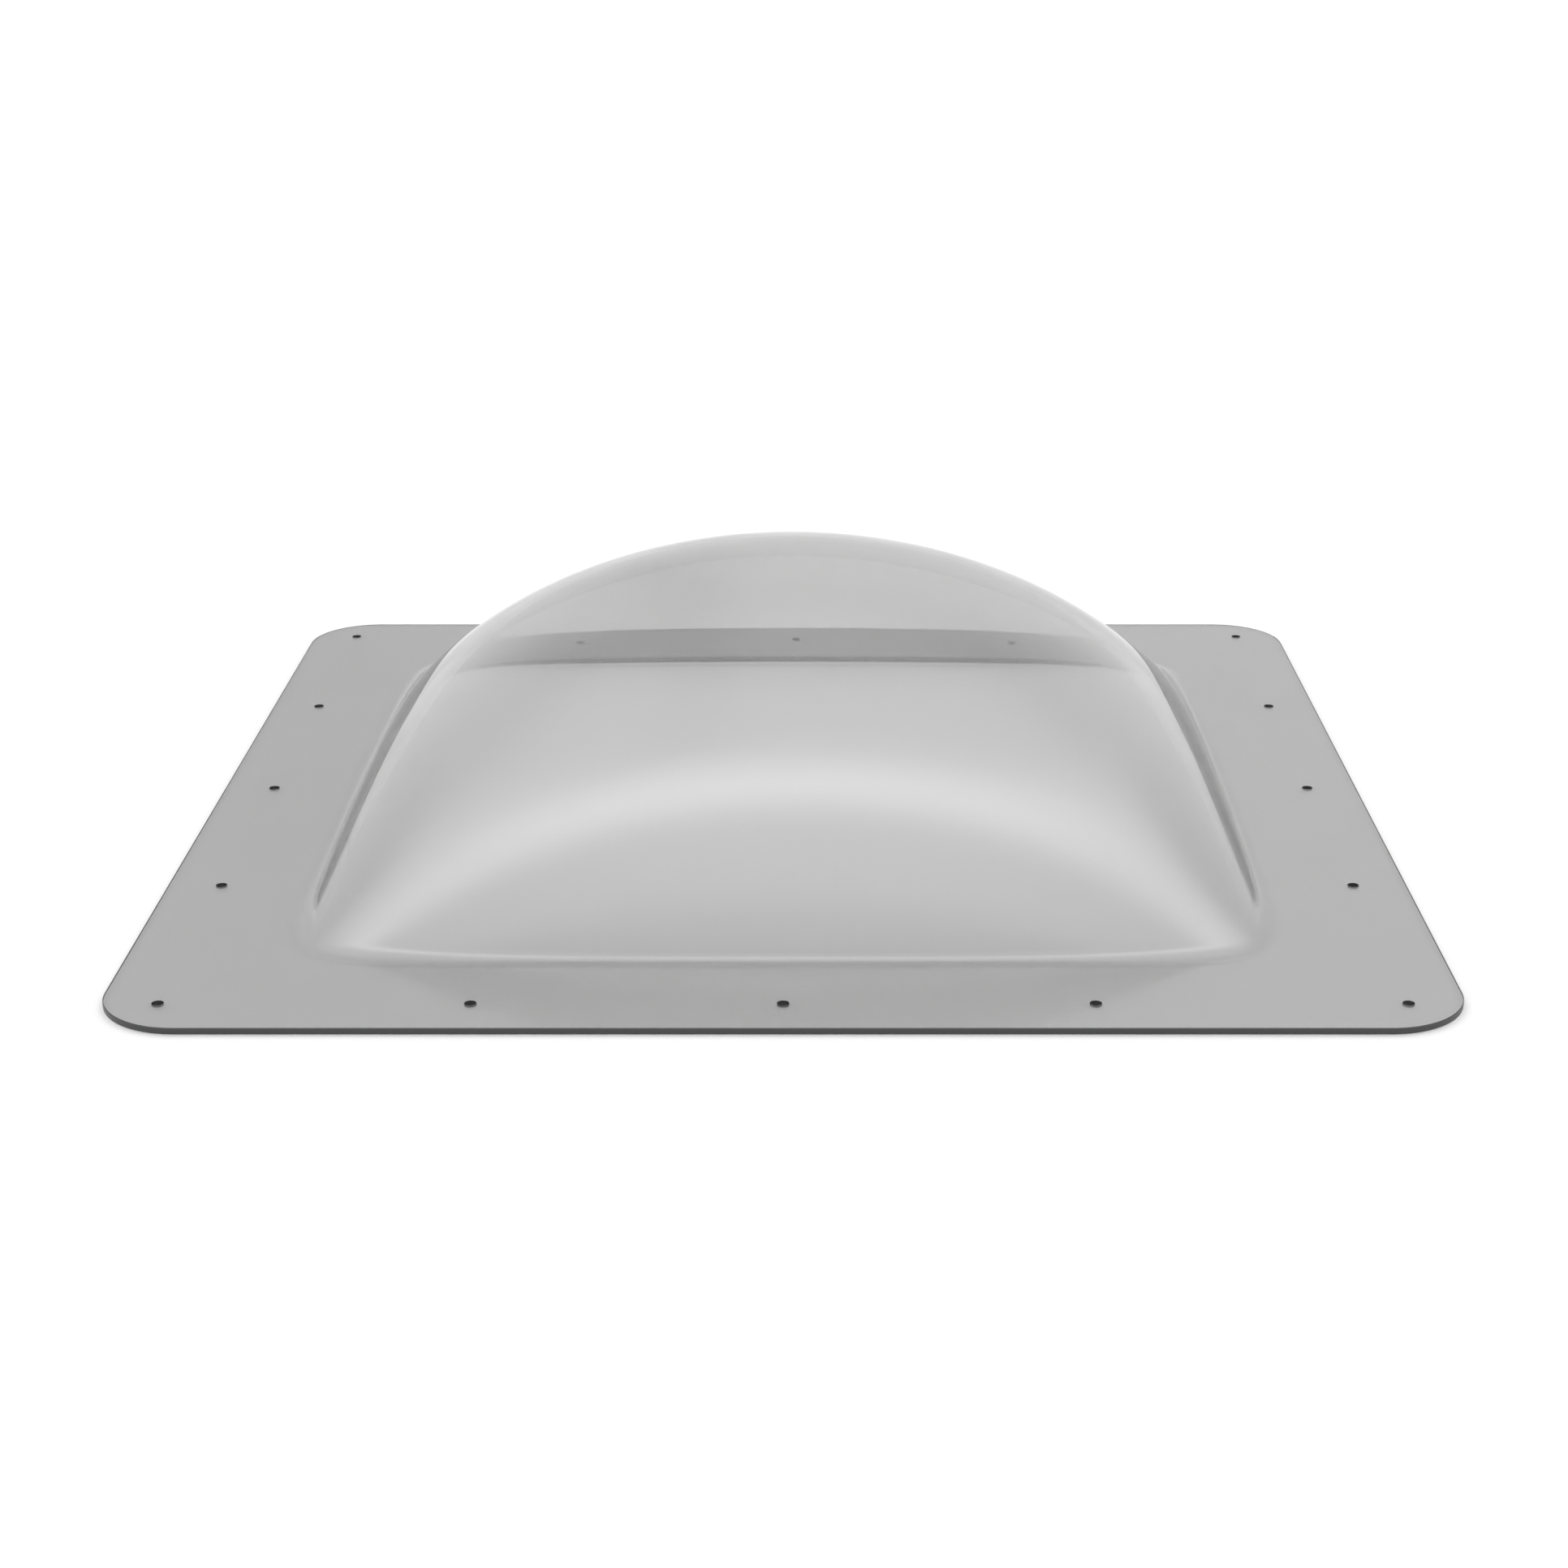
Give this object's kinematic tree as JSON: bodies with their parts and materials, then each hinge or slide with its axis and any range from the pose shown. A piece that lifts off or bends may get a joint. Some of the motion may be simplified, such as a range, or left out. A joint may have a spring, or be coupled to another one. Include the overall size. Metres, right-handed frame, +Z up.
{
  "type": "rv skylight dome",
  "caption": "Square blown dome of clear smoke plastic with a flat flange and screw holes, covering a roof opening on a camper.",
  "frame": {"origin": "centre of the flange's underside, the face that lies on the roof", "axes": "+Z up, out of the roof, through the dome's crown; X and Y along the flange's sides"},
  "size_m": [0.6096, 0.6096, 0.1352],
  "materials": {
    "smoke_sheet": "clear smoke-tinted polycarbonate sheet, glossy on both faces, with a dark sawn rim"
  },
  "bodies": {
    "root": {"skylight_dome": "smoke_sheet"}
  },
  "joints": []
}
